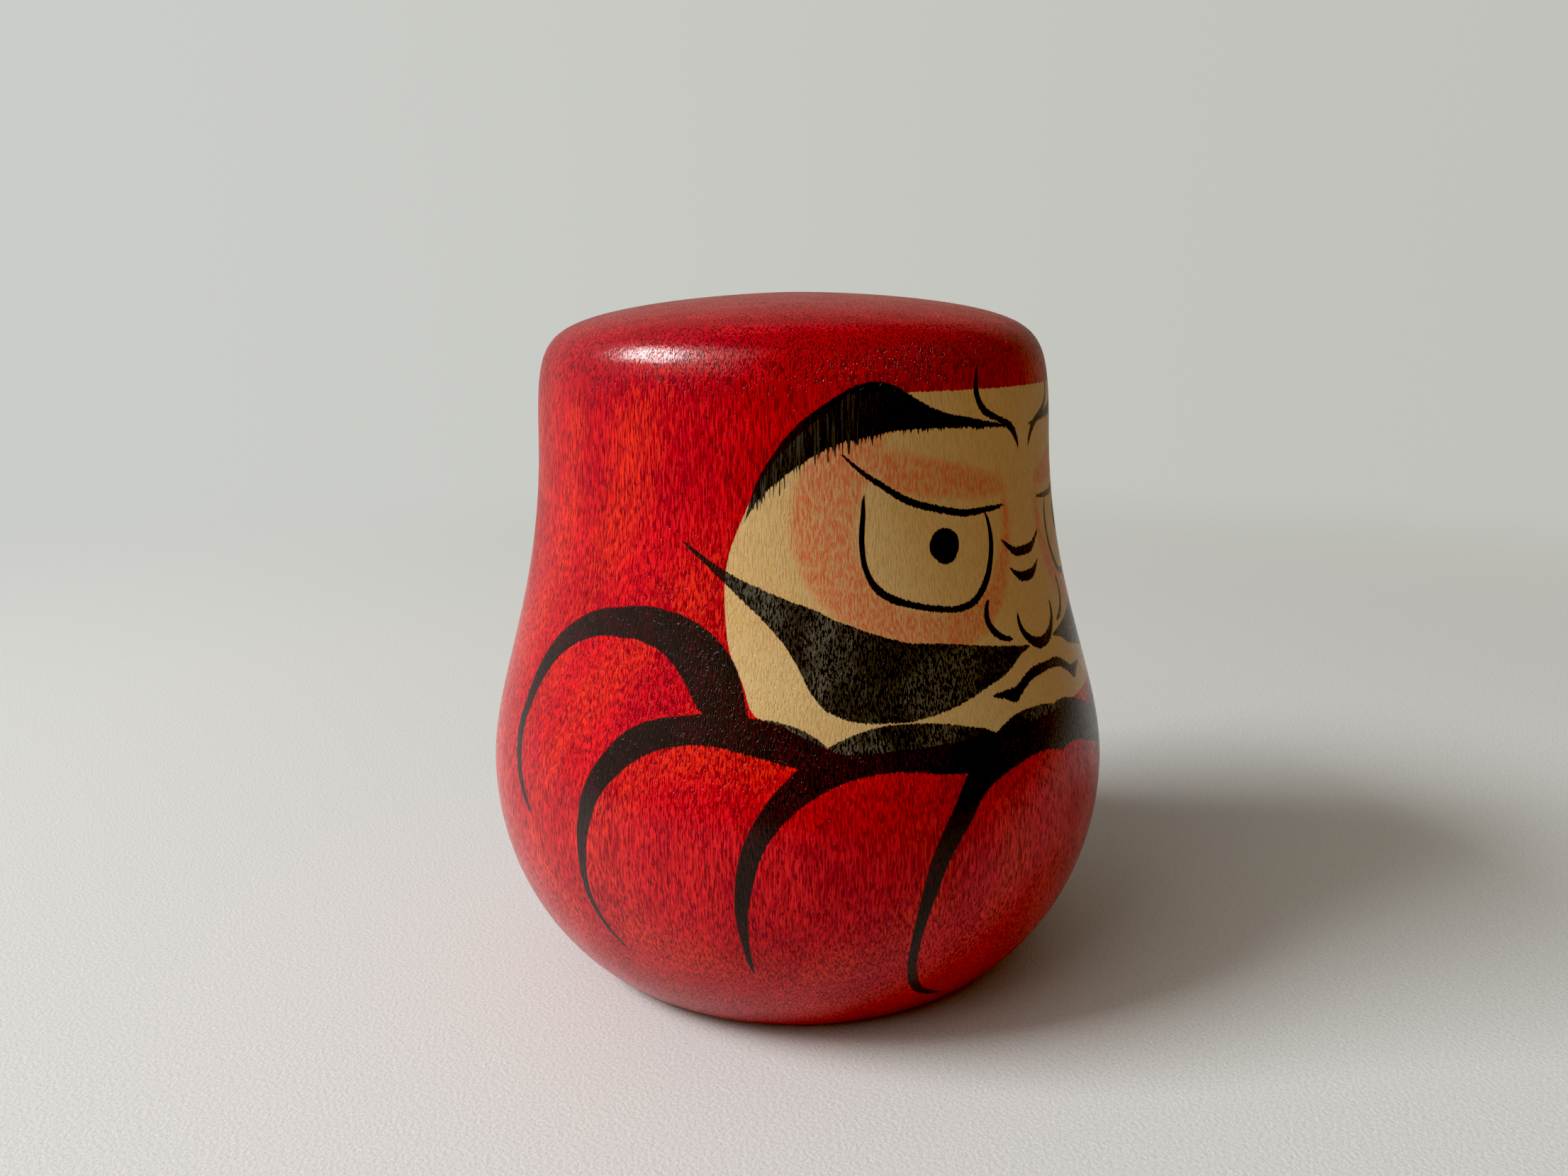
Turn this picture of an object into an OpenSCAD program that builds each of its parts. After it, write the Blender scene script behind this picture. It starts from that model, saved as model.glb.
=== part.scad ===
// Turned wooden daruma doll, standing on a flat foot.
// The outside is one outline turned on a lathe. From below the block is bored in two
// steps: a deep pocket for an iron weight, and a wider shallow seat for the wooden disc
// that closes it. The face looks along -Y. Origin: centre of the foot, +Z up.

/* [Outline] */
// Overall height, foot to crown
height = 80; // [60:1:110]
// Diameter of the flat foot
foot_d = 52; // [48:1:56]
// Greatest diameter, at the belly
belly_d = 75.4; // [70:0.2:80]
// Height of the greatest diameter, as a share of the overall height
belly_rise = 0.304; // [0.28:0.002:0.34]
// Diameter of the head where the flare from the belly ends
head_d = 60.6; // [56:0.2:64]
// Height where the flare ends, as a share of the overall height
head_rise = 0.8; // [0.76:0.01:0.82]
// How fast the head narrows towards the top, radius lost per unit of height
head_taper = 0.03; // [0:0.005:0.05]
// Diameter where the shoulder turns into the flat dome
shoulder_d = 51.4; // [48:0.2:54]
// Height of that turn, as a share of the overall height
shoulder_rise = 0.957; // [0.945:0.001:0.965]
// Slope of the dome where the shoulder ends, degrees from level
shoulder_slope = 25; // [18:1:32]

/* [Weight and base disc] */
// Diameter of the seat for the base disc
disc_seat_d = 32; // [24:1:40]
// Thickness of the base disc
disc_t = 5; // [3:0.5:8]
// How far the disc sits inside the foot, so that it never rocks the doll
disc_recess = 0.4; // [0.2:0.1:1]
// Gap between the disc's edge and its seat, filled by glue
disc_gap = 0.08; // [0.04:0.02:0.2]
// Bevel round the disc's lower edge
disc_bevel = 0.5; // [0.2:0.1:1]
// Diameter of the iron weight
weight_d = 20; // [14:1:22]
// Height of the iron weight
weight_h = 14; // [8:1:20]
// Gap round the weight in its pocket
weight_gap = 0.2; // [0.1:0.05:0.4]

/* [Hidden] */
$fn = 128;
// Straight steps along each curve of the outline
steps = 18;
foot_r = foot_d / 2;
belly_r = belly_d / 2;
belly_z = height * belly_rise;
head_r = head_d / 2;
head_z = height * head_rise;
shoulder_r = shoulder_d / 2;
shoulder_z = height * shoulder_rise;
// Direction of the outline where the shoulder runs into the dome
dome_dir = [-cos(shoulder_slope), sin(shoulder_slope)];
// Reach of each curve's handles, as shares of the height
underside_pull = 0.205 * height;
foot_pull = 0.013 * height;
belly_pull = 0.126 * height;
flare_pull = 0.24 * height;
head_pull = 0.105 * height;
shoulder_pull = 0.052 * height;
dome_pull = 0.078 * height;
crown_pull = 0.065 * height;
disc_z = disc_recess + disc_t;
// Overshoot of a cut beyond the face it opens
cut = 1;

// A point on the cubic curve that leaves a towards b and arrives at d from c
function on_curve(a, b, c, d, t) =
    pow(1 - t, 3) * a
    + 3 * pow(1 - t, 2) * t * b
    + 3 * (1 - t) * t * t * c
    + pow(t, 3) * d;

// The points of one curve; its last point is the first of the next curve
function curve(a, b, c, d) =
    [for (i = [0 : steps - 1]) on_curve(a, b, c, d, i / steps)];

foot_edge = [foot_r, 0];
belly = [belly_r, belly_z];
head = [head_r, head_z];
shoulder = [shoulder_r, shoulder_z];
crown = [0, height];

// Half outline: foot edge, underside, belly, flare, head, shoulder, dome
outline = concat(
    [[0, 0]],
    curve(foot_edge, foot_edge + [foot_pull, 0], belly - [0, underside_pull], belly),
    curve(belly, belly + [0, belly_pull], head + flare_pull * [head_taper, -1], head),
    curve(head, head + head_pull * [-head_taper, 1], shoulder - shoulder_pull * dome_dir, shoulder),
    curve(shoulder, shoulder + dome_pull * dome_dir, crown + [crown_pull, 0], crown),
    [crown]
);

// The turned block: outline, less the disc seat and the weight pocket
module body() {
    color("firebrick")
    difference() {
        rotate_extrude() polygon(outline);
        translate([0, 0, -cut])
            cylinder(h = disc_z + cut, d = disc_seat_d);
        cylinder(h = disc_z + weight_h, d = weight_d + 2 * weight_gap);
    }
}

// The iron weight, held between the pocket's end and the disc
module ballast() {
    color("dimgray")
    translate([0, 0, disc_z])
        cylinder(h = weight_h, d = weight_d);
}

// The base disc: a short plug with a bevelled lower edge
module base_plug() {
    plug_r = disc_seat_d / 2 - disc_gap;
    color("burlywood")
    rotate_extrude() polygon([
        [0, disc_recess],
        [plug_r - disc_bevel, disc_recess],
        [plug_r, disc_recess + disc_bevel],
        [plug_r, disc_z],
        [0, disc_z]
    ]);
}

body();
ballast();
base_plug();
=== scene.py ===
# %% [markdown]
# # A turned and painted daruma
# This lesson dresses a small wooden doll that a lathe turned from one block. The measured design is
# already there as a fixed frame: three solids in metres, standing at the origin with the face looking
# along -Y. We build every visible surface round that frame: the turned block, the disc that closes its
# base and the iron weight inside. Then we mix a wood, a dye, an ink and a wax, and light the doll.

# %% Load the frame and keep its box
import math

import bmesh
import bpy
from mathutils import Matrix, Vector


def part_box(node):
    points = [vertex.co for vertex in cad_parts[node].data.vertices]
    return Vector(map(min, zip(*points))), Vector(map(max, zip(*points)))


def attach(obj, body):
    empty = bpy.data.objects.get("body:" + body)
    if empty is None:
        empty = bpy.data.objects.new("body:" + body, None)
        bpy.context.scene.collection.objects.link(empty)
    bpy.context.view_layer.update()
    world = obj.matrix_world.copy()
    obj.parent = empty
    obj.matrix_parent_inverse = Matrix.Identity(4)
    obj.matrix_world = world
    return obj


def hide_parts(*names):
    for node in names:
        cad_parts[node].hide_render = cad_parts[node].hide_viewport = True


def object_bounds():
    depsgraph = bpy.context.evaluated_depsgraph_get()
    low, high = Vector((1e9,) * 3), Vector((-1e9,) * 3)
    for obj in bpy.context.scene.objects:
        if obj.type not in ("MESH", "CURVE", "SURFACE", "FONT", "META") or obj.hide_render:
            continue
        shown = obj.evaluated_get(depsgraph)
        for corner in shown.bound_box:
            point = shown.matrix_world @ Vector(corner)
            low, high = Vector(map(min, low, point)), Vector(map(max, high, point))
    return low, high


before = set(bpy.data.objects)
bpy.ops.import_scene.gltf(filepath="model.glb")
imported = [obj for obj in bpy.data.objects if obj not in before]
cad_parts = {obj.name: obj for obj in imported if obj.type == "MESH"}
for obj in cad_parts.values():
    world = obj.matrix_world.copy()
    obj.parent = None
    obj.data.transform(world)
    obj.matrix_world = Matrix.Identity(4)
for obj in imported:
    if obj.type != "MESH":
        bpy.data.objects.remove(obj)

cad_low, cad_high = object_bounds()
MM = 0.001  # metres in a millimetre: the frame is in metres, a maker thinks in millimetres
height = cad_high.z / MM
print("frame:", sorted(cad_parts), "height", round(height, 1), "mm")

# %% [markdown]
# ## Where we look from
# A doll this small is looked at from very near, so perspective is strong: the camera stands about two
# heights away, a little below the crown, and looks down a little. It sees the doll's right cheek, so the
# face lies towards the right of the picture. A camera can be aimed with three angles, but their order is
# easy to mistake. Here three directions do it: right, up and back are the columns of its matrix.

# %% Camera
MIDDLE = Vector((0, 0, 0.04))  # m, the doll's own middle
FACE_TURN = 52.3               # degrees between the way the face looks and the way to the camera
CAMERA_REACH = 143.8           # mm from the doll's axis
CAMERA_HEIGHT = 76.5           # mm
LOOK_DOWN = 12.7               # degrees below level
LOOK_ASIDE = 0.55              # degrees left of the axis
CAMERA_ROLL = -0.8             # degrees
SENSOR = 36                    # mm wide
LENS = 27.05                   # mm
NEAREST, FURTHEST = 0.01, 20   # m, between which anything is seen


def away(turn):
    """Unit vector that leaves the axis at turn degrees from the face, positive to the face's left."""
    a = math.radians(turn)
    return Vector((math.sin(a), -math.cos(a), 0))


to_camera = away(-FACE_TURN)
ahead = -to_camera
ahead.rotate(Matrix.Rotation(math.radians(LOOK_ASIDE), 3, "Z"))
ahead = (ahead * math.cos(math.radians(LOOK_DOWN))) - Vector((0, 0, math.sin(math.radians(LOOK_DOWN))))
right = ahead.cross(Vector((0, 0, 1))).normalized()
up = right.cross(ahead)
roll = Matrix.Rotation(math.radians(-CAMERA_ROLL), 3, ahead)
right.rotate(roll)
up.rotate(roll)

lens = bpy.data.cameras.new("camera")
lens.lens = LENS
lens.sensor_width = SENSOR
lens.clip_start = NEAREST
lens.clip_end = FURTHEST
camera = bpy.data.objects.new("camera", lens)
bpy.context.scene.collection.objects.link(camera)
camera.matrix_world = Matrix((right, up, -ahead)).transposed().to_4x4()
camera.location = (to_camera * CAMERA_REACH + Vector((0, 0, CAMERA_HEIGHT))) * MM
bpy.context.scene.camera = camera
print("camera stands", round((camera.location - MIDDLE).length / MM), "mm from the doll's middle")

# %% [markdown]
# ## A bench for nodes
# Materials and Geometry Nodes are both trees of small boxes. Writing each box out would bury the idea,
# so one helper adds a node, feeds it numbers or sockets, and hands back the socket that comes out. With
# it a pattern reads like a sum. A soft step, a noise, a mix and a smooth curve are all that we need.

# %% Node helper
class Bench:
    """Adds nodes to one tree. Each call returns an output socket."""

    def __init__(self, tree):
        self.tree = tree

    def add(self, kind, **settings):
        made = self.tree.nodes.new(kind)
        for name, value in settings.items():
            setattr(made, name, value)
        return made

    def feed(self, socket, value):
        if isinstance(value, bpy.types.NodeSocket):
            self.tree.links.new(value, socket)
        else:
            socket.default_value = value

    def math(self, operation, *values, clamp=False):
        made = self.add("ShaderNodeMath", operation=operation, use_clamp=clamp)
        for socket, value in zip(made.inputs, values):
            self.feed(socket, value)
        return made.outputs[0]

    def vector(self, operation, *values, out=0, scale=None):
        made = self.add("ShaderNodeVectorMath", operation=operation)
        for socket, value in zip(made.inputs, values):
            self.feed(socket, value)
        if scale is not None:
            self.feed(made.inputs["Scale"], scale)
        return made.outputs[out]

    def smooth(self, value, low, high, to_low=0.0, to_high=1.0):
        """Soft step of value from low to high."""
        made = self.add("ShaderNodeMapRange", interpolation_type="SMOOTHSTEP")
        for socket, number in zip(made.inputs, (value, low, high, to_low, to_high)):
            self.feed(socket, number)
        return made.outputs[0]

    def noise(self, place, scale, detail=2.0, roughness=0.5):
        made = self.add("ShaderNodeTexNoise")
        self.feed(made.inputs["Vector"], place)
        self.feed(made.inputs["Scale"], scale)
        self.feed(made.inputs["Detail"], detail)
        self.feed(made.inputs["Roughness"], roughness)
        return made.outputs[0]

    def mix(self, share, first, second):
        made = self.add("ShaderNodeMix", data_type="RGBA")
        self.feed(made.inputs[0], share)
        for socket, colour in zip((made.inputs[6], made.inputs[7]), (first, second)):
            self.feed(socket, (*colour, 1.0) if isinstance(colour, tuple) else colour)
        return made.outputs[2]

    def curve(self, value, points):
        """A smooth curve through given points, read at value. Beyond its ends it stays level."""
        made = self.add("ShaderNodeFloatCurve")
        mapping = made.mapping
        mapping.use_clip = False
        mapping.extend = "HORIZONTAL"
        line = mapping.curves[0]
        points = sorted(points)
        line.points[0].location = points[0]
        line.points[1].location = points[-1]
        for spot in points[1:-1]:
            line.points.new(*spot)
        for spot in line.points:
            spot.handle_type = "AUTO_CLAMPED"
        mapping.update()
        self.feed(made.inputs["Value"], value)
        return made.outputs[0]


print("bench:", [tool for tool in vars(Bench) if not tool.startswith("_")])

# %% [markdown]
# ## The lathe
# On a lathe the block spins and the tool follows one outline, so the shape is that outline swept round
# the axis. Spin or Screw would do it too. Here Geometry Nodes do: a circle is the path, the outline is the
# profile, and Curve to Mesh sweeps it. One tree then turns the block, the disc and the weight.

# %% The lathe's tree
PATH_RADIUS = 1.0  # m, of the circle that carries the outline round
WELD = 0.002       # mm; points nearer than this become one
lathe = bpy.data.node_groups.new("lathe", "GeometryNodeTree")
for name, kind in (("Outline", "NodeSocketGeometry"), ("Steps round", "NodeSocketInt"),
                   ("Sharp above", "NodeSocketFloat"), ("Finish", "NodeSocketMaterial")):
    lathe.interface.new_socket(name, in_out="INPUT", socket_type=kind)
lathe.interface.new_socket("Turned", in_out="OUTPUT", socket_type="NodeSocketGeometry")
bench = Bench(lathe)
asked = bench.add("NodeGroupInput")
path = bench.add("GeometryNodeCurvePrimitiveCircle")
bench.feed(path.inputs["Resolution"], asked.outputs["Steps round"])
bench.feed(path.inputs["Radius"], PATH_RADIUS)
level = bench.add("GeometryNodeSetCurveNormal", mode="Z_UP")
bench.feed(level.inputs["Curve"], path.outputs["Curve"])
sweep = bench.add("GeometryNodeCurveToMesh")
bench.feed(sweep.inputs["Curve"], level.outputs["Curve"])
bench.feed(sweep.inputs["Profile Curve"], asked.outputs["Outline"])
weld = bench.add("GeometryNodeMergeByDistance")
bench.feed(weld.inputs["Geometry"], sweep.outputs["Mesh"])
bench.feed(weld.inputs["Distance"], WELD * MM)
soft = bench.add("GeometryNodeSetShadeSmooth", domain="FACE")
bench.feed(soft.inputs["Geometry"], weld.outputs["Geometry"])
edge = bench.add("GeometryNodeInputMeshEdgeAngle")
is_sharp = bench.add("FunctionNodeCompare", data_type="FLOAT", operation="GREATER_THAN")
bench.feed(is_sharp.inputs["A"], edge.outputs["Unsigned Angle"])
bench.feed(is_sharp.inputs["B"], asked.outputs["Sharp above"])
crisp = bench.add("GeometryNodeSetShadeSmooth", domain="EDGE")
bench.feed(crisp.inputs["Geometry"], soft.outputs["Geometry"])
bench.feed(crisp.inputs["Selection"], is_sharp.outputs["Result"])
bench.feed(crisp.inputs["Shade Smooth"], False)
real = bench.add("GeometryNodeRealizeInstances")
bench.feed(real.inputs["Geometry"], crisp.outputs["Geometry"])
coat = bench.add("GeometryNodeSetMaterial")
bench.feed(coat.inputs["Geometry"], real.outputs["Geometry"])
bench.feed(coat.inputs["Material"], asked.outputs["Finish"])
bench.feed(bench.add("NodeGroupOutput").inputs[0], coat.outputs["Geometry"])
print("lathe tree:", len(lathe.nodes), "nodes")

# %% [markdown]
# The tree needs an outline to follow. A spline with automatic handles runs smoothly through its points,
# and a vector handle keeps a corner. The path circle has a radius of one metre only so that its frame
# is well defined; the outline is moved in by the same metre, so it lands back on the axis. A modifier's
# inputs are set by their identifiers, because two sockets could share a name. Then the result is made a
# plain mesh, and its faces are turned to point outwards.

# %% Turn an outline into a piece
SHARP_ABOVE = 35  # degrees; an edge steeper than this is shaded as a corner


def outline_curve(name, points, corners, fine):
    """A curve object through (radius, height) points in mm. corners are the indices that stay sharp."""
    data = bpy.data.curves.new(name, "CURVE")
    data.dimensions = "3D"
    data.resolution_u = fine
    spline = data.splines.new("BEZIER")
    spline.bezier_points.add(len(points) - 1)
    for i, (spot, (r, z)) in enumerate(zip(spline.bezier_points, points)):
        spot.co = (r * MM - PATH_RADIUS, -z * MM, 0)
        kind = "VECTOR" if i in corners else "AUTO"
        spot.handle_left_type = kind
        spot.handle_right_type = kind
    made = bpy.data.objects.new(name, data)
    bpy.context.scene.collection.objects.link(made)
    return made


def turn(name, points, corners, finish, fine=4, steps=256):
    """Turns an outline on the lathe and returns the finished mesh object."""
    blank = outline_curve(name + "_outline", points, corners, fine)
    modifier = blank.modifiers.new("lathe", "NODES")
    modifier.node_group = lathe
    wanted = {"Steps round": steps, "Sharp above": math.radians(SHARP_ABOVE), "Finish": finish}
    for item in lathe.interface.items_tree:
        if item.in_out == "INPUT" and item.name in wanted:
            modifier[item.identifier] = wanted[item.name]
    bpy.context.view_layer.update()
    graph = bpy.context.evaluated_depsgraph_get()
    mesh = bpy.data.meshes.new_from_object(blank.evaluated_get(graph), depsgraph=graph)
    bpy.data.objects.remove(blank)
    shell = bmesh.new()
    shell.from_mesh(mesh)
    bmesh.ops.recalc_face_normals(shell, faces=shell.faces)
    shell.to_mesh(mesh)
    shell.free()
    mesh.name = name
    made = bpy.data.objects.new(name, mesh)
    bpy.context.scene.collection.objects.link(made)
    print(name, len(mesh.polygons), "faces, box", [round(v / MM, 2) for v in made.dimensions])
    return made


def stand_for(piece, node):
    """Lets a finished piece ride on the one body and stand for its CAD node."""
    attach(piece, "root")
    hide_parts(node)


print("the lathe is ready; edges above", SHARP_ABOVE, "degrees stay sharp")

# %% [markdown]
# ## Reading the block's outline off the frame
# The frame's block was turned from the very outline we need, so we don't measure again. Every vertex of
# its mesh lies on a circle round the axis, and its distance from the axis and its height are one point
# of the outline. Points that belong to the seat and pocket in the base are set apart by their place, and
# those two hollows are drawn again with straight lines.

# %% Outline of the block
disc_low, disc_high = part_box("base_plug")
iron_low, iron_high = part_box("ballast")
SEAT_RIM = disc_high.x / MM + 0.5   # mm from the axis, just past the seat
POCKET_ROOF = iron_high.z / MM + 1  # mm up, just past the pocket
STATION_GAP = 1.2                   # mm; stations nearer than this are left out, so the curve stays even
LOOKOUT = 0.45 * height             # mm up the axis, a point that sees the whole outline


def outline_points(node):
    """The (radius, height) pairs of a turned node's mesh, in mm."""
    found = set()
    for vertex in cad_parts[node].data.vertices:
        found.add((round(vertex.co.xy.length / MM, 3), round(vertex.co.z / MM, 3)))
    return found


def along(spot):
    """Orders the outside of the block from the foot round to the crown."""
    return math.atan2(spot[1] - LOOKOUT, spot[0])


every = outline_points("body")
inside = {p for p in every if p[0] < SEAT_RIM and p[1] < POCKET_ROOF}
outer = sorted(every - inside, key=along)
stations = [outer[0]]
for spot in outer[1:]:
    if math.dist(spot, stations[-1]) >= STATION_GAP and math.dist(spot, outer[-1]) >= STATION_GAP:
        stations.append(spot)
stations.append(outer[-1])
seat_r = max(p[0] for p in inside)
seat_top = disc_high.z / MM
pocket_r = min(p[0] for p in inside if p[0] > 1)
pocket_top = max(p[1] for p in inside)
hollow = [(0, pocket_top), (pocket_r, pocket_top), (pocket_r, seat_top), (seat_r, seat_top), (seat_r, 0)]
block_outline = hollow + stations
print(len(stations), "stations; seat", seat_r, "pocket", pocket_r, "to", pocket_top)

# %% [markdown]
# ## Finding a place on the doll
# The painter thinks in heights and in turns round the doll, so the finish does too. From Object
# coordinates we work out, in millimetres and degrees: the height, the distance from the axis, and the
# turn from the middle of the face. Nothing here depends on a UV map, so there is no seam to hide.

# %% Places, in mm and degrees
def finish_material(name):
    """A new material, a bench on its tree, and its shader."""
    made = bpy.data.materials.new(name)
    made.use_nodes = True
    return made, Bench(made.node_tree), made.node_tree.nodes["Principled BSDF"]


def in_mm(bench):
    """Object coordinates in millimetres."""
    return bench.vector("SCALE", bench.add("ShaderNodeTexCoord").outputs["Object"], scale=1 / MM)


def stretched(bench, place, cross, along_grain):
    """Place scaled by cross in X and Y and by along_grain in Z, for marks that follow the grain."""
    return bench.vector("MULTIPLY", place, (cross, cross, along_grain))


doll_finish, bench, shader = finish_material("dyed_and_painted_wood")
place = in_mm(bench)
parts = bench.add("ShaderNodeSeparateXYZ")
bench.feed(parts.inputs[0], place)
x, y, z = parts.outputs
radius = bench.vector("LENGTH", bench.vector("MULTIPLY", place, (1, 1, 0)), out=1)
around = bench.math("DEGREES", bench.math("ARCTAN2", x, bench.math("MULTIPLY", y, -1)))
per_degree = bench.math("MULTIPLY", radius, math.radians(1))


def tell(what):
    """Says what was added and how far the doll's material has grown."""
    print(what, "-", len(doll_finish.node_tree.nodes), "nodes so far")


tell("places")

# %% [markdown]
# ## Grain
# The doll is turned along the grain, so every fibre and pore runs up the Z axis. Noise that is squeezed
# across and stretched along Z gives just that, in the solid and not on its skin: the walls show long
# streaks, the slopes cut them short, and the crown shows them end on as dots. That is what real wood does.
# The tree adds two things more: year rings, which run round its own middle, and brown heartwood within
# them. The block was cut beside the middle of the tree, so the doll's right cheek, which faces the
# window, is pale and the rest is browner. That browning is partly the wood's own and partly painted warm
# shade on the side turned from the light. All of it comes from distances to that middle, so one formula
# serves every cut.

# %% Wood, as one pattern through the block
BLOCK_AT = (-40, -25, 0)  # mm from the middle of the tree to the doll's axis
HEARTWOOD_AND_SHADE = (82, 70)      # mm from the tree's middle, where pale turns brown: heartwood and painted warm shade
RING_RATE = 1.9           # turns of the ring wave, in radians per mm
UNEVEN = 5                # radians by which the rings wander from true circles
WANDER = (0.09, 0.02)     # noise waves per mm, across the grain and along it, here and in the next three
FIBRE = (5.0, 0.40)
PORES = (5.2, 0.85)
BLOTCH = (0.16, 0.10)


def grain(bench, place):
    """Heartwood with its painted warm shade, year rings, fibres, pores and blotches of one piece of wood,
    each from 0 to 1.
    """
    in_tree = bench.vector("MULTIPLY", bench.vector("ADD", place, BLOCK_AT), (1, 1, 0))
    from_pith = bench.vector("LENGTH", in_tree, out=1)
    wander = bench.noise(stretched(bench, place, *WANDER), 1.0, detail=2)
    rings = bench.math("MULTIPLY", from_pith, RING_RATE)
    swing = bench.math("ADD", rings, bench.math("MULTIPLY", wander, UNEVEN))
    fibre = bench.noise(stretched(bench, place, *FIBRE), 1.0, detail=2, roughness=0.6)
    pores = bench.noise(stretched(bench, place, *PORES), 1.0, detail=1.5, roughness=0.5)
    blotch = bench.noise(stretched(bench, place, *BLOTCH), 1.0, detail=2)
    # noise stays near one half, so a narrow window round it is opened out to run from 0 to 1
    return {
        # browner towards the tree's middle: heartwood, and painted warm shade on the face's dark side
        "heart": bench.smooth(from_pith, *HEARTWOOD_AND_SHADE),
        "year": bench.smooth(bench.math("SINE", swing), -1, 1),
        "fibre": bench.smooth(fibre, 0.41, 0.59),
        "pore": bench.smooth(pores, 0.53, 0.60),
        "blotch": bench.smooth(blotch, 0.35, 0.65),
    }


wood = grain(bench, place)
tell("grain")

# %% [markdown]
# Wet colour doesn't stop where the brush did. It creeps a little up and down the fibres, so the edge of
# every mark is faintly toothed. The marks below read this shifted height instead of the true one.

# %% Ink creeps along the fibres
CREEP_REACH = 0.5  # mm, from the furthest down to the furthest up
creep = bench.noise(stretched(bench, place, *FIBRE), 1.0, detail=2)
wet_z = bench.math("ADD", z, bench.math("MULTIPLY", bench.math("SUBTRACT", creep, 0.5), CREEP_REACH))
tell("creep")

# %% [markdown]
# ## Brush marks
# A brush mark is a path and a width. Three ways of holding the brush cover all of them: across the doll,
# where the path is a height for each turn; down the doll, where it is a turn for each height; and round a
# point, where it is a reach for each direction. Float Curves hold path and width from a few given
# points, and stay sharp at any size, which a painted picture wouldn't. The result is a distance in mm,
# below zero inside the ink. Marks use the turn without its sign, so that both halves match.

# %% Three strokes
GUARD = 4      # how far beyond a tip the half width has come down to NO_INK
NO_INK = -1.5  # mm


def path_and_width(where, rows):
    """Path and half width at where, from rows of (where, path, width)."""
    path = bench.curve(where, [(a, p) for a, p, w in rows])
    half = [(a, w / 2) for a, p, w in rows]
    tips = [(rows[0][0] - GUARD, NO_INK), (rows[-1][0] + GUARD, NO_INK)]
    return path, bench.curve(where, half + tips)


def side(pivot=0):
    """Turn from a middle line, the same on both sides."""
    return bench.math("ABSOLUTE", bench.math("SUBTRACT", around, pivot))


def across(rows, pivot=0, level=None, fringe=0.0):
    """A stroke whose rows are (turn, height, width). Ink runs down from its lower edge by fringe mm."""
    path, half = path_and_width(side(pivot), rows)
    over = bench.math("SUBTRACT", level or wet_z, path)
    under = bench.math("SUBTRACT", bench.math("MULTIPLY", over, -1), fringe)
    return bench.math("SUBTRACT", bench.math("MAXIMUM", over, under), half)


def down(rows, pivot=0):
    """A stroke whose rows are (height, turn, width)."""
    path, half = path_and_width(wet_z, rows)
    gap = bench.math("ABSOLUTE", bench.math("SUBTRACT", side(pivot), path))
    return bench.math("SUBTRACT", bench.math("MULTIPLY", gap, per_degree), half)


def aim(turn, height, pivot=0, start=1, level=None):
    """Direction and reach from a point on the doll. Start 1 counts the direction from up, -1 from down."""
    out = bench.math("MULTIPLY", bench.math("SUBTRACT", side(pivot), turn), per_degree)
    rise = bench.math("MULTIPLY", bench.math("SUBTRACT", level or wet_z, height), start)
    squares = bench.math("ADD", bench.math("MULTIPLY", out, out), bench.math("MULTIPLY", rise, rise))
    return bench.math("DEGREES", bench.math("ARCTAN2", out, rise)), bench.math("SQRT", squares)


def round_point(turn, height, rows, pivot=0, start=1, level=None):
    """A stroke round a point whose rows are (direction, reach, width)."""
    where, reach = aim(turn, height, pivot, start, level)
    path, half = path_and_width(where, rows)
    return bench.math("SUBTRACT", bench.math("ABSOLUTE", bench.math("SUBTRACT", reach, path)), half)


def nearest(marks):
    """The union of several marks."""
    result = marks[0]
    for mark in marks[1:]:
        result = bench.math("MINIMUM", result, mark)
    return result


print("strokes: across, down and round a point; the union is their smallest distance")

# %% [markdown]
# The robe is a chain of arches that runs round the shoulders. Each one is laid with a loaded brush that
# is lifted at the end, so it is broad over the top and thins to a hair. Each is a stroke round a point
# under its own arch. The two halves match, but for the small drop that a hand makes on its way round.

# %% Robe
SINK = 2.2          # mm that the painter's hand dropped from the middle of the robe to its left half
SINKING = (-2, 14)  # degrees between which it dropped
robe_z = bench.math("ADD", wet_z, bench.smooth(around, *SINKING, 0.0, SINK))
arch_a = round_point(86, 37, [
    (-90, 14.9, 2.6), (-80, 13.4, 4.4), (-60, 12.5, 5.2), (-42, 11.8, 4.6), (-22, 10.8, 3.8), (5, 9.8, 2.9),
    (32, 9.9, 2.4), (58, 10.9, 2.1), (78, 12.3, 1.9), (93, 13.8, 1.7), (106, 15.5, 1.6), (121, 16.3, 1.15),
    (139, 16.5, 0)], level=robe_z)
arch_b = round_point(66, 24, [
    (-50, 15.5, 1.8), (-44, 15.2, 2.9), (-29, 14.3, 3.8), (-8, 13.5, 3.2), (14, 13.6, 2.9), (33, 14.1, 3.0),
    (52, 14.4, 2.7), (66, 14.8, 2.3), (80, 14.9, 1.8), (97, 15.3, 1.2), (112, 15.9, 0.8), (126, 16.0, 0.5),
    (141, 16.0, 0)], level=robe_z)
arch_c = round_point(38, 22, [
    (-50, 16.8, 3.6), (-43, 16.0, 4.8), (-31, 14.6, 5.0), (-16, 13.8, 4.7), (2, 13.5, 4.4), (22, 13.4, 3.7),
    (38, 13.5, 3.1), (55, 13.9, 2.5), (73, 14.5, 2.1), (88, 14.8, 1.8), (99, 15.2, 1.4), (114, 15.9, 0.8),
    (128, 17.0, 0)], level=robe_z)
arch_d = round_point(12, 20, [
    (-40, 16.0, 4.6), (-20, 15.0, 4.8), (-2, 14.1, 4.8), (12, 13.4, 4.0), (30, 12.6, 3.0), (50, 11.7, 2.5),
    (72, 11.9, 2.1), (90, 12.3, 1.7), (109, 13.5, 1.3), (128, 15.2, 1.1), (144, 16.2, 0.9), (163, 16.4, 0)],
    pivot=-1, level=robe_z)
robe = nearest([arch_a, arch_b, arch_c, arch_d])
tell("robe")

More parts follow.
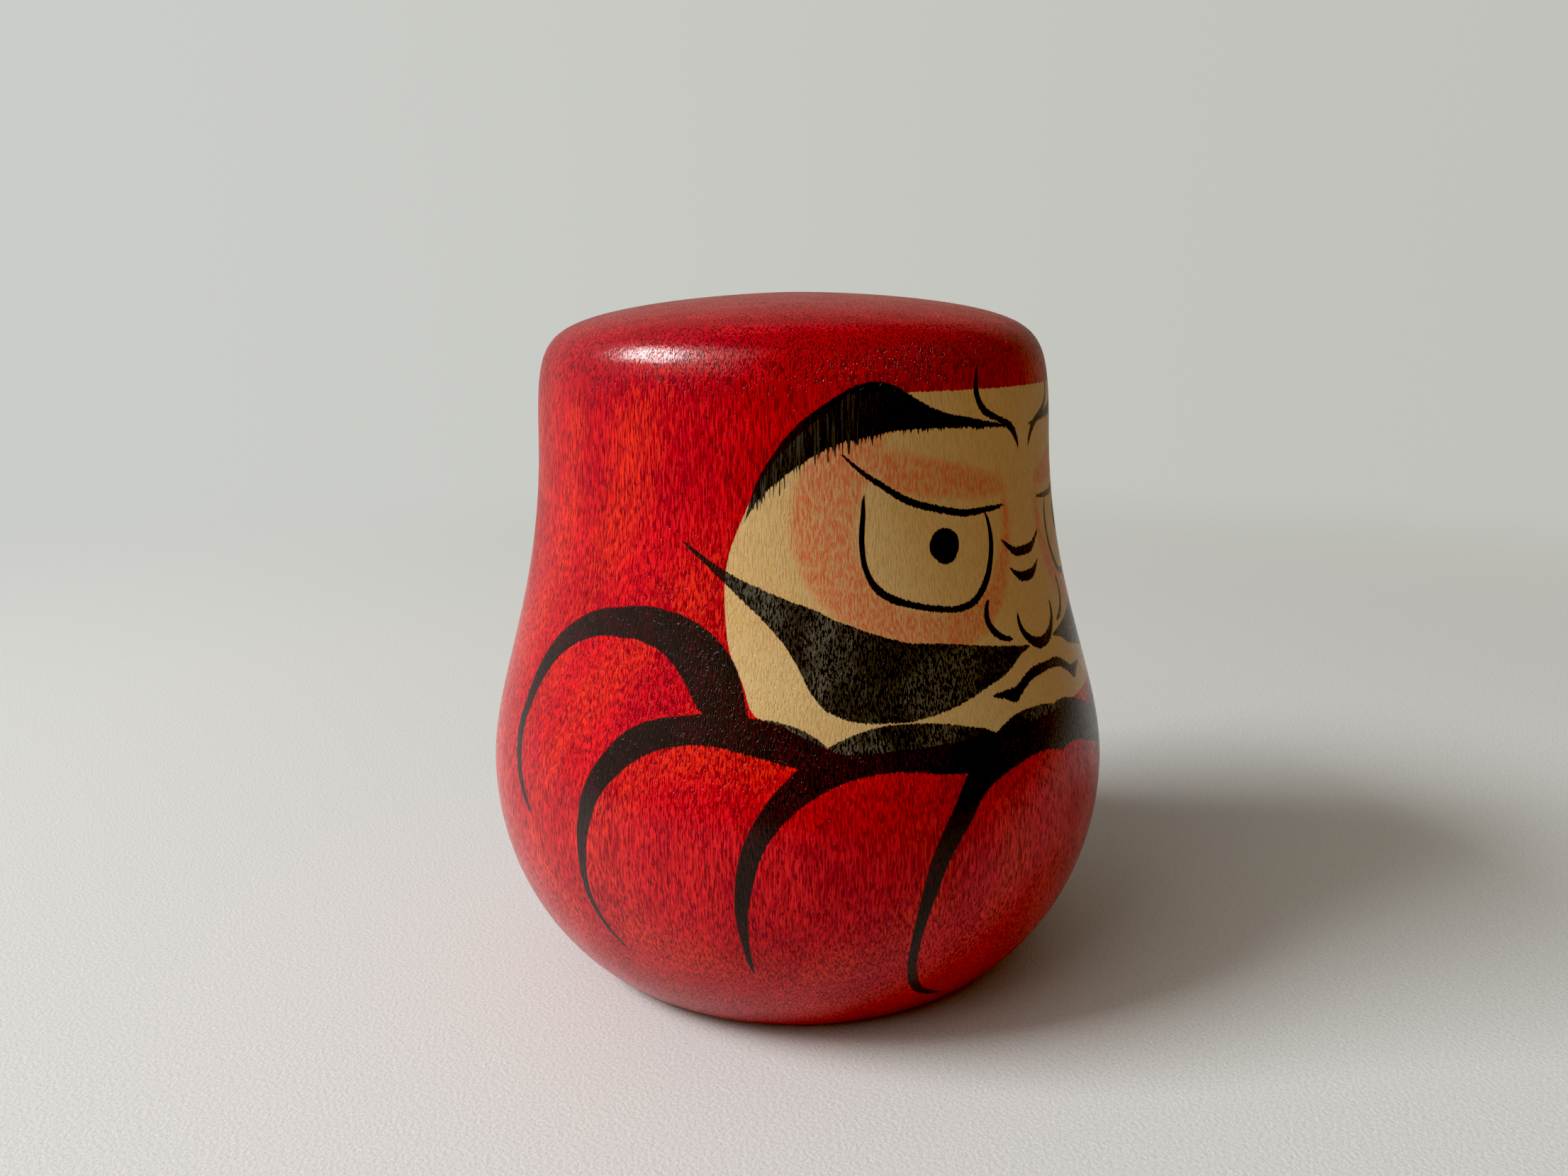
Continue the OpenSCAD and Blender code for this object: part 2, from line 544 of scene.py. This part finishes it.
# %% [markdown]
# The face is a handful of confident lines under heavy brows, with a broad moustache below. The brow is
# laid across the fibres with a wet brush, so its ink runs down some of them like hairs. Noise that is
# drawn out very long along the grain says which ones, and its strength says how far.

# %% Brow and moustache
HAIR = (4.2, 0.08)    # noise waves per mm, across the grain and along it
RUNS = (0.25, 1.5)    # mm that ink runs down, near the nose and at the temple
BROW_SPAN = (18, 52)  # degrees from the middle of the face between which the runs grow
BROW_TIP = (61, 58)   # degrees; towards the tip they end
hairs = bench.noise(stretched(bench, place, *HAIR), 1.0, detail=2)
long_hairs = bench.smooth(side(), *BROW_SPAN, *RUNS)
long_hairs = bench.math("MULTIPLY", long_hairs, bench.smooth(side(), *BROW_TIP))
drips = bench.math("MULTIPLY", bench.smooth(hairs, 0.46, 0.70), long_hairs)
brow = across([
    (3.5, 65.6, 0), (8, 65.9, 0.4), (15.3, 66.4, 0.9), (24, 67.0, 1.8), (28.7, 67.6, 3.0),
    (32.2, 68.15, 4.1), (35.5, 68.35, 4.9), (40, 68.0, 5.2), (43.5, 67.45, 4.7), (47.5, 66.35, 4.3),
    (51.6, 64.9, 4.0), (55.7, 62.8, 3.1), (59.4, 60.2, 1.7), (61.5, 57.4, 0)], fringe=drips)
beard = across([
    (4.5, 42.6, 0), (8, 42.5, 1.0), (12, 42.1, 2.6), (17.5, 41.9, 4.1), (24.5, 41.7, 6.1), (31.5, 41.6, 7.3),
    (37.5, 42.1, 8.3), (42.5, 42.8, 9.1), (47, 43.9, 9.2), (50, 45.3, 8.0), (52.5, 47.0, 5.6),
    (57, 49.15, 3.3), (62, 51.05, 1.9), (68, 53.4, 0.8), (73.5, 55.6, 0)])
broad_marks = nearest([robe, brow, beard])
tell("brow and moustache")

# %% [markdown]
# Each eye is a lid drawn over a hanging loop, both with a fine brush that swells a little on the way. The
# pupil is a dot whose edge wanders by a tenth of a millimetre, because no hand draws a true circle.

# %% Eyes
lid = across([
    (7, 57.6, 0), (10, 57.5, 0.4), (17.5, 57.4, 0.62), (22, 57.8, 0.66), (27, 58.5, 0.66), (31, 59.2, 0.7),
    (35, 60.5, 0.66), (39, 61.9, 0.5), (41.5, 63.0, 0.35), (43.5, 64.0, 0)])
eye = round_point(26, 56.5, [
    (-96, 7.1, 0), (-80, 7.9, 0.5), (-62, 8.6, 0.65), (-47, 9.1, 0.75), (-32, 9.3, 0.72), (-18, 8.95, 0.6),
    (-3, 8.3, 0.55), (17, 8.05, 0.6), (36, 8.4, 0.72), (48, 8.6, 0.7), (63, 8.3, 0.5), (79, 7.75, 0.5),
    (99, 7.45, 0.45), (116, 7.9, 0)], start=-1)
where, reach = aim(23.3, 54.4, start=-1)
pupil = bench.math("SUBTRACT", reach, bench.curve(where, [
    (-180, 1.7), (-120, 1.8), (-60, 1.7), (-15, 1.82), (40, 1.7), (90, 1.8), (130, 1.7), (180, 1.7)]))
tell("eyes")

# %% [markdown]
# The rest are short lines: a furrow over each brow, two creases across the bridge of the nose, its wings
# and its tip, and a mouth turned down. Their middle is a degree or so off the doll's own, as it is when
# someone paints with the doll in one hand.

# %% Lines of the nose, mouth and forehead
furrow = down([
    (63.2, 2.3, 0), (64.0, 2.8, 0.5), (64.9, 4.0, 0.9), (65.8, 6.0, 1.7), (66.7, 10.3, 2.0),
    (67.3, 12.9, 1.5), (68.2, 14.8, 0.8), (69.7, 15.8, 0.6), (71.9, 15.0, 0)], pivot=1.5)
crease_high = across([(0, 52.4, 0.95), (3, 52.5, 0.9), (5, 53.1, 0.65), (7.4, 54.1, 0)], pivot=-1.2)
crease_low = across([(0, 49.7, 1.0), (2.5, 49.85, 0.9), (4, 50.3, 0.6), (5.6, 51.0, 0)], pivot=-1.2)
wing = round_point(9.5, 46.6, [
    (-10, 2.75, 0), (15, 2.6, 0.5), (35, 2.6, 0.65), (65, 2.8, 0.7), (94, 2.95, 0.6), (127, 2.9, 0)],
    pivot=-0.5, start=-1)
nose = round_point(0, 46.1, [
    (0, 3.6, 1.15), (20, 3.65, 1.1), (40, 3.7, 0.85), (68, 3.9, 0.55), (93, 3.75, 0)], start=-1)
mouth_z = bench.math("ADD", wet_z, bench.smooth(around, 0, 14, 0.0, 0.7))
mouth = across([
    (0, 40.0, 0.8), (4.5, 39.9, 1.0), (7.3, 39.4, 1.05), (9.5, 38.75, 1.15), (11, 38.35, 1.4),
    (13.5, 38.65, 0.75), (16.3, 38.85, 0)], pivot=-0.5, level=mouth_z)
LOADED = 0.05    # mm that a well loaded brush adds to each side of a fine line
INK_EDGE = 0.06  # mm on each side of an edge over which ink fades
fine_lines = nearest([lid, eye, pupil, furrow, crease_high, crease_low, wing, nose, mouth])
fine_lines = bench.math("SUBTRACT", fine_lines, LOADED)
inked = bench.smooth(nearest([fine_lines, broad_marks]), INK_EDGE, -INK_EDGE)
tell("fine lines")

# %% [markdown]
# The dye goes on by brush as well and leaves the face bare. Its border is one curve, a turn for each
# height, closed by a line across the forehead and one under the chin. The foot stays bare underneath,
# and so do the seat and the pocket, which no brush reaches: a height and a radius tell them apart.

# %% Bare face
FOREHEAD = 69.7           # mm
CHIN = 35.3               # mm
DYE_EDGE = 0.05           # mm on each side of an edge over which dye fades
FOOT_LINE = (0.05, 0.35)  # mm up, where the dye begins
UNDER_CROWN = 40          # mm; above this every surface of the block is an outer one
POCKET_WALL = 19          # mm from the axis, between the pocket and the outer wall
face_edge = bench.curve(wet_z, [
    (35.0, 44), (35.9, 47.3), (37, 51), (38.2, 55), (39.2, 59.3), (42, 61.2), (45, 63.6), (48.3, 64.6),
    (51, 64.9), (54, 64.4), (56, 63.2), (59, 60.8), (62.9, 56.5), (65.5, 52), (69.7, 42)])
past_edge = bench.math("MULTIPLY", bench.math("SUBTRACT", side(), face_edge), per_degree)
above = bench.math("SUBTRACT", wet_z, FOREHEAD)
below = bench.math("SUBTRACT", CHIN, wet_z)
bare = bench.math("MAXIMUM", bench.math("MAXIMUM", above, below), past_edge)
dyed = bench.math("MULTIPLY", bench.smooth(bare, -DYE_EDGE, DYE_EDGE), bench.smooth(wet_z, *FOOT_LINE))
high_up = bench.math("GREATER_THAN", z, UNDER_CROWN)
far_out = bench.math("GREATER_THAN", radius, POCKET_WALL)
outside = bench.math("MAXIMUM", high_up, far_out)
dyed = bench.math("MULTIPLY", dyed, outside)
inked = bench.math("MULTIPLY", inked, outside)
tell("bare face")

# %% [markdown]
# Rouge is rubbed on dry round the eye and over the lid. It catches on some fibres and misses others, so
# it is a soft patch broken up by the grain. The same strokes serve, with a wide soft edge instead of a
# sharp one; a width below zero lets a patch fade out before its end.

# %% Rouge
RUB_EDGE = (0.6, -0.8)  # mm outside and inside a stroke, between which the rouge comes in
RUB = (4.6, 1.1)        # noise waves per mm, across the grain and along it
ROUGE_MISSED = 0.31     # strength where the fibres missed it
ROUGE_CAUGHT = 0.48     # and how much more where they caught it
ring = round_point(26, 56.5, [
    (-130, 10.5, -1.6), (-100, 10.5, 1.0), (-70, 10.6, 2.0), (-40, 11.0, 3.2), (-15, 10.8, 4.0),
    (10, 10.3, 3.6), (35, 10.7, 4.2), (60, 11.2, 5.6), (85, 11.4, 6.4), (105, 11.3, 6.6), (125, 11.2, 6.0),
    (145, 11.0, 3.6), (165, 11.0, -1.6)], start=-1)
lid_patch = across([
    (3, 59.0, -1.6), (7, 59.5, 1.2), (14, 60.2, 3.0), (22, 61.0, 3.8), (30, 61.6, 4.2), (37, 63.0, 3.0),
    (43, 64.2, -1.0)])
rubbed = bench.smooth(nearest([ring, lid_patch]), *RUB_EDGE)
caught = bench.smooth(bench.noise(stretched(bench, place, *RUB), 1.0, detail=2), 0.42, 0.58)
rouge = bench.math("MULTIPLY", rubbed, bench.math("MULTIPLY_ADD", caught, ROUGE_CAUGHT, ROUGE_MISSED))
tell("rouge")

# %% [markdown]
# ## Wood, dye, ink and wax
# The finish is built in the order in which it goes on. Bare wood comes first: straw-coloured, browner
# towards the middle of the tree, and a little browner again in its fibres and pores. The browning inward
# is also painted warm shade on the dark side of the face. The disc under the foot is cut from the same
# wood, so a function mixes it for both.

# %% Bare wood and rouge
STRAW = (0.575, 0.415, 0.203)
TAN = (0.55, 0.315, 0.129)
HONEY = (0.53, 0.300, 0.100)
BARK = (0.26, 0.130, 0.040)
ROUGE = (0.56, 0.115, 0.062)
FIBRE_HONEY = 0.35  # how much a fibre, a year ring and a pore each change the colour
YEAR_HONEY = 0.2
PORE_BARK = 0.13


def wood_colour(bench, wood):
    """Bare wood: browner inward, which also paints warm shade, by year and by fibre, with deeper pores."""
    body = bench.mix(wood["heart"], STRAW, TAN)
    late = bench.math("MULTIPLY", wood["year"], YEAR_HONEY)
    late = bench.math("MULTIPLY_ADD", wood["fibre"], FIBRE_HONEY, late)
    body = bench.mix(late, body, HONEY)
    return bench.mix(bench.math("MULTIPLY", wood["pore"], PORE_BARK), body, BARK)


plain = wood_colour(bench, wood)
face = bench.mix(rouge, plain, ROUGE)
tell("bare wood and rouge")

# %% [markdown]
# The dye is thin and soaks in, so the wood decides its colour: scarlet in one year's growth, nearer to
# orange in the next, and crimson in the fibres that drink most. It is deepest on the crown, where the
# fibres are cut across, and a band just under the crown is made darker too. Pores fill up with dye
# and dry almost black, above all where the tool cut them open on the shoulder.

# %% Red dye
SCARLET = (0.66, 0.017, 0.020)
VERMILION = (0.69, 0.031, 0.017)
CRIMSON = (0.34, 0.005, 0.013)
WINE = (0.13, 0.001, 0.008)
END_GRAIN = (71.5, 76.0)   # mm; above this the fibres are cut across and drink more dye
DARK_BAND = 72.0             # mm; the middle of a darker band round the shoulder
DARK_BAND_FADE = (5.0, 1.0)  # mm from that middle, where the darkening fades in and is full
BAND_DARKENING = 0.4          # what it, a blotch and a fibre add to what the wood drinks; 1 is crimson
BLOTCHY = 0.35
FIBROUS = 0.75
OPEN_PORES = (69.0, 73.5)  # mm; here the tool began to cut across the fibres and opened their pores
PORE_DYE = (0.72, 0.95)    # how full of dye they are below and above
by_year = bench.math("MULTIPLY_ADD", wood["year"], 0.5, 0.25)
crown = bench.math("MULTIPLY", bench.smooth(z, *END_GRAIN), by_year)
# a band round the shoulder, just under the crown, is made darker
from_band = bench.math("ABSOLUTE", bench.math("SUBTRACT", z, DARK_BAND))
darker_band = bench.smooth(from_band, *DARK_BAND_FADE, 0.0, BAND_DARKENING)
thirsty = bench.math("MULTIPLY_ADD", wood["blotch"], BLOTCHY, bench.math("ADD", crown, darker_band))
soaked = bench.math("MULTIPLY_ADD", wood["fibre"], FIBROUS, thirsty, clamp=True)
bright = bench.mix(wood["year"], SCARLET, VERMILION)
red = bench.mix(soaked, bright, CRIMSON)
filled = bench.math("MULTIPLY", wood["pore"], bench.smooth(z, *OPEN_PORES, *PORE_DYE))
red = bench.mix(filled, red, WINE)
coloured = bench.mix(dyed, face, red)
tell("red dye")

# %% [markdown]
# Ink lies over wood and dye. In the fine lines it is full and black. In the wide fields the brush runs
# dry in dabs, misses part of the fibres and lets what is under it show through. The brow is combed: long
# thin streaks run along it where single hairs of the brush parted.

# %% Ink
INK_THIN = (0.098, 0.088, 0.067)
INK_ON_RED = (0.046, 0.013, 0.015)
INK_FULL = (0.0165, 0.0140, 0.0125)
LINE_WEAR = 0.18     # how thin the ink may get in a line, where 1 is as thin as in a wide field
DABS = (0.22, 0.16)  # noise waves per mm, across the grain and along it
MISSED = (5.2, 1.4)
DAB_LEAST = 0.3      # how thin the ink is at least, and how much more in a dry dab
DAB_MORE = 0.7
COMBED = (24, 52)    # degrees from the middle of the face between which the combing comes in
COMBED_MOST = 0.42
wash = bench.mix(dyed, INK_THIN, INK_ON_RED)
worn = bench.smooth(nearest([robe, beard]), 0.1, -0.1, LINE_WEAR, 1.0)
dab = bench.smooth(bench.noise(stretched(bench, place, *DABS), 1.0, detail=3), 0.38, 0.62)
missed = bench.noise(stretched(bench, place, *MISSED), 1.0, detail=2, roughness=0.6)
missed = bench.smooth(missed, 0.44, 0.56)
spread = bench.math("MULTIPLY_ADD", dab, DAB_MORE, DAB_LEAST)
thin = bench.math("MULTIPLY", bench.math("MULTIPLY", worn, missed), spread)
parted = bench.smooth(side(), *COMBED, 0.0, COMBED_MOST)
combed = bench.math("MULTIPLY", bench.smooth(hairs, 0.50, 0.60), parted)
combed = bench.math("MULTIPLY", combed, bench.smooth(brow, 0.0, -0.2))
thin = bench.math("MAXIMUM", thin, combed)
coloured = bench.mix(inked, coloured, bench.mix(thin, INK_FULL, wash))
bench.feed(shader.inputs["Base Color"], coloured)
tell("ink")

# %% [markdown]
# Last, the doll is rubbed with wax while it spins. The wax is the shader's coat: clear, thin and fairly
# smooth. It doesn't fill everything, so pores stay as fine pits, fibres stand up a hair, and the turning
# tool's own marks run round the doll. All three are far too small for geometry, so a bump gives them.

# %% Wax
TOOL_PITCH = 0.42            # mm between the marks that the turning tool left
TOOL_DEPTH = 0.0008          # mm
FIBRE_DEPTH = 0.006          # mm
PORE_DEPTH = (0.028, 0.075)  # mm on the walls, and where the pores are cut open
POLISH = 0.30                # roughness of the wood under the wax, and what blotches and pores add
BLOTCH_DULL = 0.08
PORE_DULL = 0.12
tool_marks = bench.math("SINE", bench.math("MULTIPLY", z, math.tau / TOOL_PITCH))
pore_depth = bench.smooth(z, *OPEN_PORES, *PORE_DEPTH)
pitted = bench.math("MULTIPLY", bench.math("MULTIPLY", wood["pore"], pore_depth), -1)
raised = bench.math("MULTIPLY", wood["fibre"], FIBRE_DEPTH)
ribbed = bench.math("MULTIPLY_ADD", tool_marks, TOOL_DEPTH, raised)
relief = bench.add("ShaderNodeBump")
bench.feed(relief.inputs["Strength"], 1.0)
bench.feed(relief.inputs["Distance"], MM)
bench.feed(relief.inputs["Height"], bench.math("ADD", pitted, ribbed))
bench.feed(shader.inputs["Normal"], relief.outputs[0])
bench.feed(shader.inputs["Coat Normal"], relief.outputs[0])
polish = bench.math("MULTIPLY_ADD", wood["blotch"], BLOTCH_DULL, POLISH)
bench.feed(shader.inputs["Roughness"], bench.math("MULTIPLY_ADD", wood["pore"], PORE_DULL, polish))
shader.inputs["Specular IOR Level"].default_value = 0.07
shader.inputs["Coat Weight"].default_value = 0.6
shader.inputs["Coat Roughness"].default_value = 0.15
tell("wax")

# %% [markdown]
# ## Bare wood and raw iron
# The disc that closes the base is cut from the same wood and stays bare: no dye, no ink, no wax. It
# reads the same grain as the block, so its fibres run up and it shows them end on, as dots.

# %% Finish of the disc
DISC_PORE_DEPTH = 0.03  # mm
BARE_ROUGHNESS = 0.5    # and what a fibre adds
FIBRE_DULL = 0.15
disc_finish, disc_bench, disc_shader = finish_material("unpainted_wood")
disc_place = in_mm(disc_bench)
disc_wood = grain(disc_bench, disc_place)
disc_bench.feed(disc_shader.inputs["Base Color"], wood_colour(disc_bench, disc_wood))
disc_dull = disc_bench.math("MULTIPLY_ADD", disc_wood["fibre"], FIBRE_DULL, BARE_ROUGHNESS)
disc_bench.feed(disc_shader.inputs["Roughness"], disc_dull)
disc_relief = disc_bench.add("ShaderNodeBump")
disc_bench.feed(disc_relief.inputs["Distance"], MM)
disc_pits = disc_bench.math("MULTIPLY", disc_wood["pore"], -DISC_PORE_DEPTH)
disc_bench.feed(disc_relief.inputs["Height"], disc_pits)
disc_bench.feed(disc_shader.inputs["Normal"], disc_relief.outputs[0])
print("disc finish:", len(disc_finish.node_tree.nodes), "nodes")

# %% [markdown]
# The weight is a slug sawn from an iron bar, and nobody sees it, so it was never cleaned: dark scale, a
# few brighter rubbed spots and a breath of rust. Rust isn't a metal, so it lowers the metallic share.

# %% Finish of the weight
IRON_SCALE = (0.055, 0.056, 0.06)
IRON_RUBBED = (0.19, 0.19, 0.195)
IRON_RUST = (0.16, 0.065, 0.03)
SPOTS = 0.5         # noise waves per mm
RUST_PATCHES = 0.22
SCALE_DEPTH = 0.04  # mm
iron_finish, iron_bench, iron_shader = finish_material("raw_iron")
iron_place = in_mm(iron_bench)
scale_spots = iron_bench.noise(iron_place, SPOTS, detail=5, roughness=0.65)
scale_spots = iron_bench.smooth(scale_spots, 0.42, 0.62)
rust = iron_bench.smooth(iron_bench.noise(iron_place, RUST_PATCHES, detail=6, roughness=0.7), 0.52, 0.7)
dark_iron = iron_bench.mix(scale_spots, IRON_SCALE, IRON_RUBBED)
iron_bench.feed(iron_shader.inputs["Base Color"], iron_bench.mix(rust, dark_iron, IRON_RUST))
iron_bench.feed(iron_shader.inputs["Metallic"], iron_bench.math("SUBTRACT", 0.9, rust, clamp=True))
iron_bench.feed(iron_shader.inputs["Roughness"], iron_bench.math("MULTIPLY_ADD", rust, 0.3, 0.45))
iron_relief = iron_bench.add("ShaderNodeBump")
iron_bench.feed(iron_relief.inputs["Distance"], MM)
iron_bench.feed(iron_relief.inputs["Height"], iron_bench.math("MULTIPLY", scale_spots, SCALE_DEPTH))
iron_bench.feed(iron_shader.inputs["Normal"], iron_relief.outputs[0])
print("iron finish:", len(iron_finish.node_tree.nodes), "nodes")

# %% [markdown]
# ## Turning the pieces
# All three pieces come off the same lathe tree. The block keeps its hard corners only at the seat, the
# pocket and the rim of its foot, which are the first points of its outline. Everywhere else the curve
# runs smoothly, so the head flows into the belly as a turner's gouge leaves it.

# %% The block
block = turn("turned_block", block_outline, range(len(hollow) + 1), doll_finish)
stand_for(block, "body")

# %% [markdown]
# The disc has a broken edge so that it starts easily in its seat, two fine rings cut for looks and, in
# the middle, the small dent that the lathe's centre left. Its outline runs in from the rim, and each
# ring is three points of it.

# %% The disc
disc_r = disc_high.x / MM
disc_top = disc_high.z / MM
disc_bottom = disc_low.z / MM
DISC_BEVEL = 0.5       # mm
GROOVES = (6.0, 11.0)  # mm from the middle
GROOVE = 0.35          # mm, half the width and the depth of a cut ring
DENT_RADIUS = 1.0      # mm
DENT_DEPTH = 0.9       # mm
disc_outline = [(0, disc_top), (disc_r, disc_top), (disc_r, disc_bottom + DISC_BEVEL),
                (disc_r - DISC_BEVEL, disc_bottom)]
for ring_r in sorted(GROOVES, reverse=True):
    disc_outline += [(ring_r + GROOVE, disc_bottom), (ring_r, disc_bottom + GROOVE),
                     (ring_r - GROOVE, disc_bottom)]
disc_outline += [(DENT_RADIUS, disc_bottom), (0, disc_bottom + DENT_DEPTH)]
disc = turn("base_disc", disc_outline, range(len(disc_outline)), disc_finish, fine=1, steps=128)
stand_for(disc, "base_plug")

# %% [markdown]
# The weight is the simplest of the three: a plain slug whose two edges were eased with a file.

# %% The weight
iron_r = iron_high.x / MM
iron_top = iron_high.z / MM
iron_bottom = iron_low.z / MM
EASED = 0.7  # mm
iron_outline = [(0, iron_top), (iron_r - EASED, iron_top), (iron_r, iron_top - EASED),
                (iron_r, iron_bottom + EASED), (iron_r - EASED, iron_bottom), (0, iron_bottom)]
weight = turn("iron_weight", iron_outline, range(len(iron_outline)), iron_finish, fine=1, steps=96)
stand_for(weight, "ballast")

# %% [markdown]
# ## Floor and light
# A sheet of pale paper runs under the doll and fades into the wall, so there is no edge to see: its
# shader mixes towards a transparent one with the distance from the axis. The paper has the faint tooth
# of a good drawing paper, as a bump.

# %% Floor
EDGE = 3.0         # m, half the floor's width
FADE = (130, 460)  # mm from the axis
PAPER_DARK = (0.525, 0.545, 0.55)
PAPER_PALE = (0.59, 0.61, 0.615)
PULP = 2.8         # noise waves per mm, in the paper's colour
TOOTH = 2.2        # and in its bump
floor_mesh = bpy.data.meshes.new("floor")
floor_mesh.from_pydata([(-EDGE, -EDGE, 0), (EDGE, -EDGE, 0), (EDGE, EDGE, 0), (-EDGE, EDGE, 0)],
                       [], [(0, 1, 2, 3)])
floor = bpy.data.objects.new("floor", floor_mesh)
bpy.context.scene.collection.objects.link(floor)
paper, paper_bench, paper_shader = finish_material("paper")
pulp = paper_bench.smooth(paper_bench.noise(in_mm(paper_bench), PULP, detail=2), 0.3, 0.7)
paper_bench.feed(paper_shader.inputs["Base Color"], paper_bench.mix(pulp, PAPER_DARK, PAPER_PALE))
paper_shader.inputs["Roughness"].default_value = 0.45
paper_relief = paper_bench.add("ShaderNodeBump")
paper_bench.feed(paper_relief.inputs["Distance"], MM)
paper_bench.feed(paper_relief.inputs["Height"], paper_bench.noise(in_mm(paper_bench), TOOTH, 2, 0.6))
paper_bench.feed(paper_relief.inputs["Strength"], 0.14)
paper_bench.feed(paper_shader.inputs["Normal"], paper_relief.outputs[0])
paper_shader.inputs["Specular IOR Level"].default_value = 0.5
from_axis = paper_bench.vector("LENGTH", in_mm(paper_bench), out=1)
gone = paper_bench.add("ShaderNodeMixShader")
paper_bench.feed(gone.inputs[0], paper_bench.smooth(from_axis, *FADE))
paper_bench.feed(gone.inputs[1], paper_shader.outputs[0])
paper_bench.feed(gone.inputs[2], paper_bench.add("ShaderNodeBsdfTransparent").outputs[0])
paper_bench.feed(paper.node_tree.nodes["Material Output"].inputs[0], gone.outputs[0])
floor_mesh.materials.append(paper)
print("floor:", 2 * EDGE, "m wide, fading from", FADE[0], "to", FADE[1], "mm")

# %% [markdown]
# The world does two jobs. The camera sees it as a plain pale wall, a little lighter towards the window.
# Every other ray sees a dim room, warmer on the far side, which fills the shadows softly and keeps the
# dye deep there. Light Path tells the two kinds of ray apart.

# %% Wall and dim room
WALL_FAR = (0.545, 0.55, 0.51)
WALL_NEAR = (0.61, 0.62, 0.59)
ROOM_FAR = (1.0, 0.78, 0.55)
ROOM_NEAR = (1.0, 0.97, 0.92)
ROOM_STRENGTH = (0.22, 0.42)
left = -Vector((right.x, right.y, 0)).normalized()
world = bpy.data.worlds.new("room")
bpy.context.scene.world = world
world.use_nodes = True
air = Bench(world.node_tree)
wall = world.node_tree.nodes["Background"]
direction = air.add("ShaderNodeTexCoord").outputs["Generated"]
leftward = air.vector("DOT_PRODUCT", direction, tuple(left), out=1)
air.feed(wall.inputs[0], air.mix(air.smooth(leftward, -0.6, 0.6), WALL_FAR, WALL_NEAR))
room = air.add("ShaderNodeBackground")
air.feed(room.inputs[0], air.mix(air.smooth(leftward, -1, 1), ROOM_FAR, ROOM_NEAR))
air.feed(room.inputs[1], air.smooth(leftward, -1, 1, *ROOM_STRENGTH))
seen = air.add("ShaderNodeMixShader")
air.feed(seen.inputs[0], air.add("ShaderNodeLightPath").outputs["Is Camera Ray"])
air.feed(seen.inputs[1], room.outputs[0])
air.feed(seen.inputs[2], wall.outputs[0])
air.feed(world.node_tree.nodes["World Output"].inputs[0], seen.outputs[0])
bpy.context.scene.view_settings.view_transform = "Standard"
print("room:", len(world.node_tree.nodes), "nodes")

# %% [markdown]
# One window stands to the left of the view and above, and makes the bright streak on the shoulder and
# the soft shadow to the right. A second, wider and much weaker light stands nearer to the camera and is a
# little warm. It opens up the dark side, as a pale wall behind the viewer would.

# %% Window
def panel(name, side, back, high, size, watts, colour):
    """An area light, placed in mm to the left of, behind and above the doll as the camera sees it."""
    light = bpy.data.lights.new(name, "AREA")
    light.shape = "RECTANGLE"
    light.size, light.size_y = size[0] * MM, size[1] * MM
    light.energy = watts
    light.color = colour
    made = bpy.data.objects.new(name, light)
    bpy.context.scene.collection.objects.link(made)
    made.location = (left * side - to_camera * back + Vector((0, 0, high))) * MM
    made.rotation_euler = (MIDDLE - made.location).to_track_quat("-Z", "Y").to_euler()
    print(name, round((made.location - MIDDLE).length / MM), "mm from the doll")


panel("window", 1090, -270, 985, (640, 420), 26.0, (1.0, 1.0, 0.99))
panel("wide_fill", 760, -720, 980, (800, 800), 4.0, (1.0, 0.91, 0.78))

# %% [markdown]
# A print of this scene would be made with its blacks set, so that ink is black even where it shines a
# little. The curve's black level does the same for the picture and touches no material.

# %% Black level
BLACK = 0.022
grade = bpy.context.scene.view_settings
grade.use_curve_mapping = True
grade.curve_mapping.black_level = (BLACK, BLACK, BLACK)
grade.curve_mapping.update()
print("black level", BLACK)

# %% [markdown]
# ## Sizes
# The box round the pieces we made has to be the box round the design.
